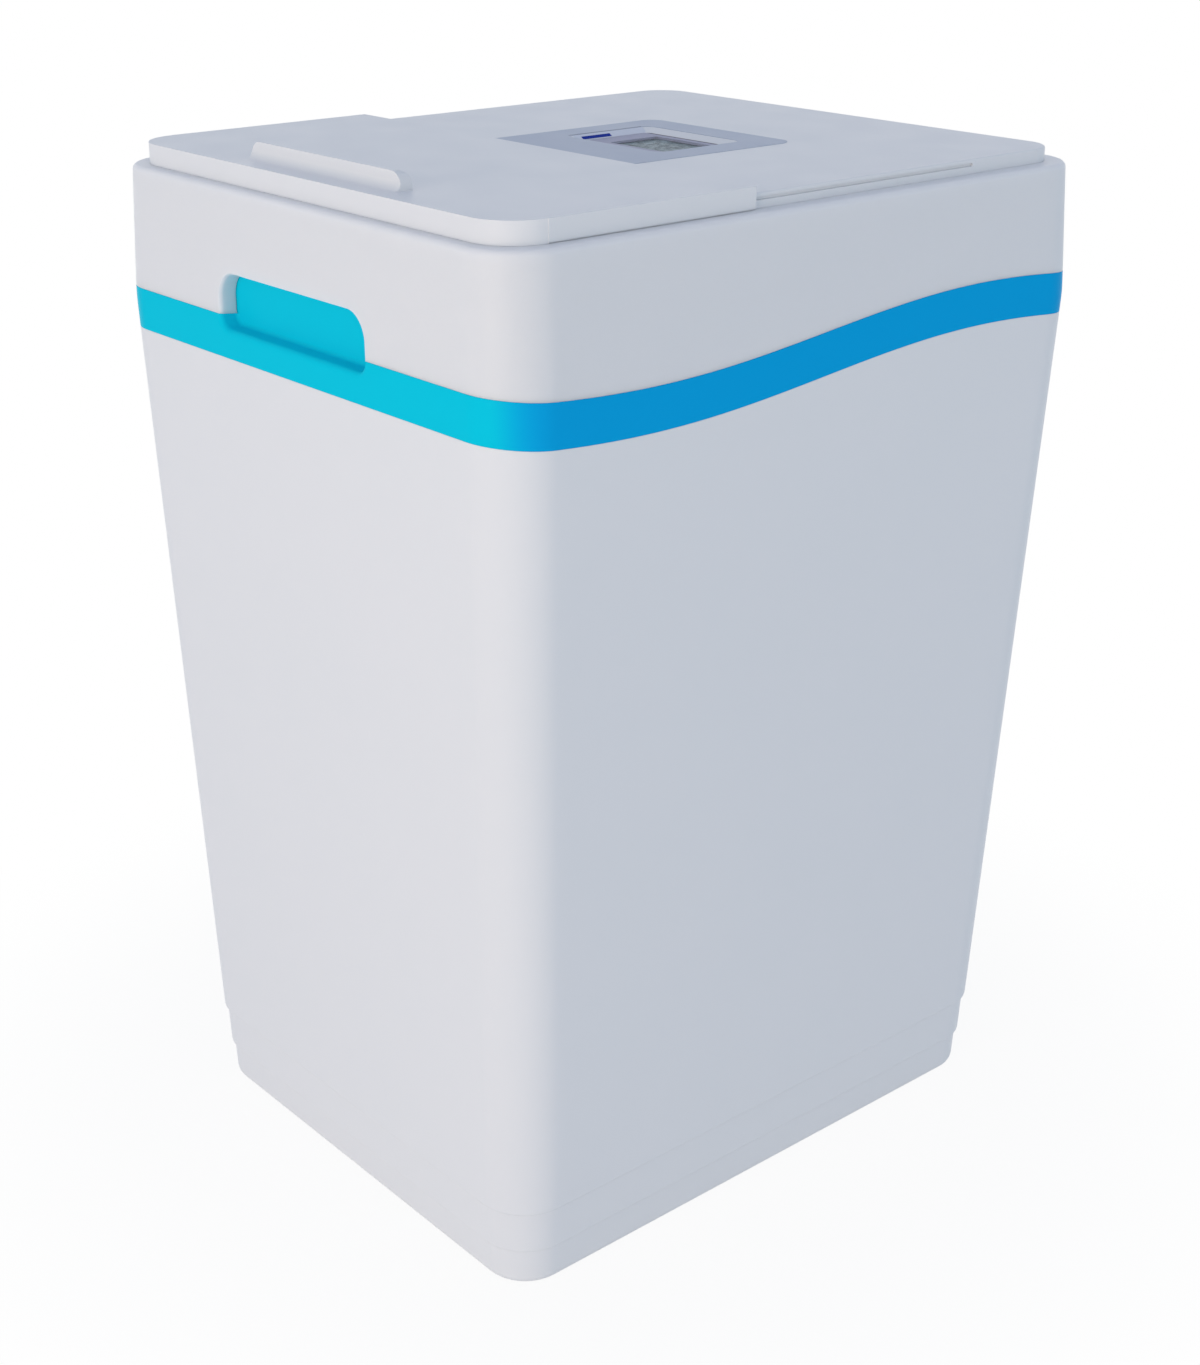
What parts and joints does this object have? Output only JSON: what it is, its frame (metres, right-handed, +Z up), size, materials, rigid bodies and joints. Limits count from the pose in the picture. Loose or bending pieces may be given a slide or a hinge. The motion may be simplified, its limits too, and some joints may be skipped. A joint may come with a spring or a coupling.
{
  "type": "cabinet water softener",
  "caption": "Tapered cabinet water softener with a wavy blue band, grip pocket, sliding salt lid, lift-off deck with display, and resin vessel with motor valve inside.",
  "frame": {"origin": "centre of the base on the floor, under the cabinet's middle", "axes": "+Z up, -Y towards the front with the grip pocket, +X to the right when seen from the front"},
  "size_m": [0.403, 0.5013, 0.6805],
  "materials": {
    "white_plastic": "satin-gloss injection moulding",
    "blue_plastic": "gloss injection moulding",
    "grey_plastic": "fine-textured moulding",
    "natural_plastic": "natural polypropylene",
    "dark_plastic": "glass-filled black moulding",
    "label_film": "printed polyester film",
    "clear_lens": "clear sheet",
    "display_glass": "grey-green liquid crystal display",
    "vessel_wrap": "filament-wound wrap",
    "resin_beads": "amber beads",
    "rubber": "matte",
    "ceramic": "lapped alumina",
    "steel": "zinc-plated",
    "brass": "machined",
    "circuit_board": "solder mask"
  },
  "bodies": {
    "cabinet": {"tank_body": "white_plastic", "blue_band": "blue_plastic", "upper_shell": "white_plastic", "rear_panel": "grey_plastic", "salt_guard": "natural_plastic", "salt_grid": "natural_plastic", "brine_well": "natural_plastic", "brine_well_cap": "blue_plastic", "float_rod": "natural_plastic", "brine_valve": "dark_plastic", "brine_line": "natural_plastic", "vessel_boot": "dark_plastic", "resin_vessel": "vessel_wrap", "resin_bed": "resin_beads", "riser_tube": "natural_plastic", "lower_basket": "natural_plastic", "upper_basket": "natural_plastic", "valve_body": "dark_plastic", "neck_o_ring": "rubber", "fixed_disc": "ceramic", "valve_cover": "grey_plastic", "valve_cover_screws": "steel", "drive_plate": "grey_plastic", "plate_pillars": "steel", "gear_motor": "steel", "motor_screws": "steel", "position_sensor": "circuit_board", "inlet_tail": "grey_plastic", "outlet_tail": "grey_plastic", "turbine_cage": "natural_plastic", "drain_elbow": "dark_plastic", "power_inlet": "dark_plastic", "overflow_fitting": "dark_plastic", "overflow_nut": "dark_plastic", "control_tray": "dark_plastic", "control_board": "circuit_board", "key_switches": "dark_plastic", "lcd_module": "display_glass", "control_cover": "dark_plastic", "control_screws": "steel"},
    "deck": {"top_deck": "white_plastic", "display_label": "label_film", "display_lens": "clear_lens"},
    "lid": {"salt_lid": "white_plastic"},
    "menu_key": {"key_menu": "grey_plastic"},
    "up_key": {"key_up": "grey_plastic"},
    "down_key": {"key_down": "grey_plastic"},
    "regen_key": {"key_regen": "blue_plastic"},
    "rotor": {"drive_gear": "natural_plastic", "drive_shaft": "dark_plastic", "rotary_disc": "ceramic"},
    "pinion": {"motor_pinion": "brass"},
    "turbine": {"flow_turbine": "blue_plastic"},
    "float": {"brine_float": "natural_plastic"}
  },
  "joints": [
    {"name": "deck_lift", "type": "slide", "parent": "cabinet", "child": "deck", "axis": [0, 0, 1], "range_m": [0, 0.12]},
    {"name": "lid_slide", "type": "slide", "parent": "deck", "child": "lid", "axis": [0, 1, 0], "range_m": [0, 0.135]},
    {"name": "menu_key_press", "type": "slide", "parent": "cabinet", "child": "menu_key", "axis": [0, 0, -1], "range_m": [0, 0.0012], "stiffness_N_per_m": 300},
    {"name": "up_key_press", "type": "slide", "parent": "cabinet", "child": "up_key", "axis": [0, 0, -1], "range_m": [0, 0.0012], "stiffness_N_per_m": 300},
    {"name": "down_key_press", "type": "slide", "parent": "cabinet", "child": "down_key", "axis": [0, 0, -1], "range_m": [0, 0.0012], "stiffness_N_per_m": 300},
    {"name": "regen_key_press", "type": "slide", "parent": "cabinet", "child": "regen_key", "axis": [0, 0, -1], "range_m": [0, 0.0012], "stiffness_N_per_m": 300},
    {"name": "rotor_spin", "type": "hinge", "parent": "cabinet", "child": "rotor", "pos_m": [0, 0.048, 0.596], "axis": [0, 1, 0], "continuous": true},
    {"name": "pinion_spin", "type": "hinge", "parent": "cabinet", "child": "pinion", "pos_m": [0.03385, 0.048, 0.596], "axis": [0, 1, 0], "continuous": true},
    {"name": "turbine_spin", "type": "hinge", "parent": "cabinet", "child": "turbine", "pos_m": [-0.042, 0.209, 0.621], "axis": [0, 1, 0], "continuous": true},
    {"name": "float_rise", "type": "slide", "parent": "cabinet", "child": "float", "axis": [0, 0, 1], "range_m": [0, 0.08]}
  ],
  "couplings": [
    {"joint": "pinion_spin", "follows": "rotor_spin", "ratio": -2.8571}
  ]
}
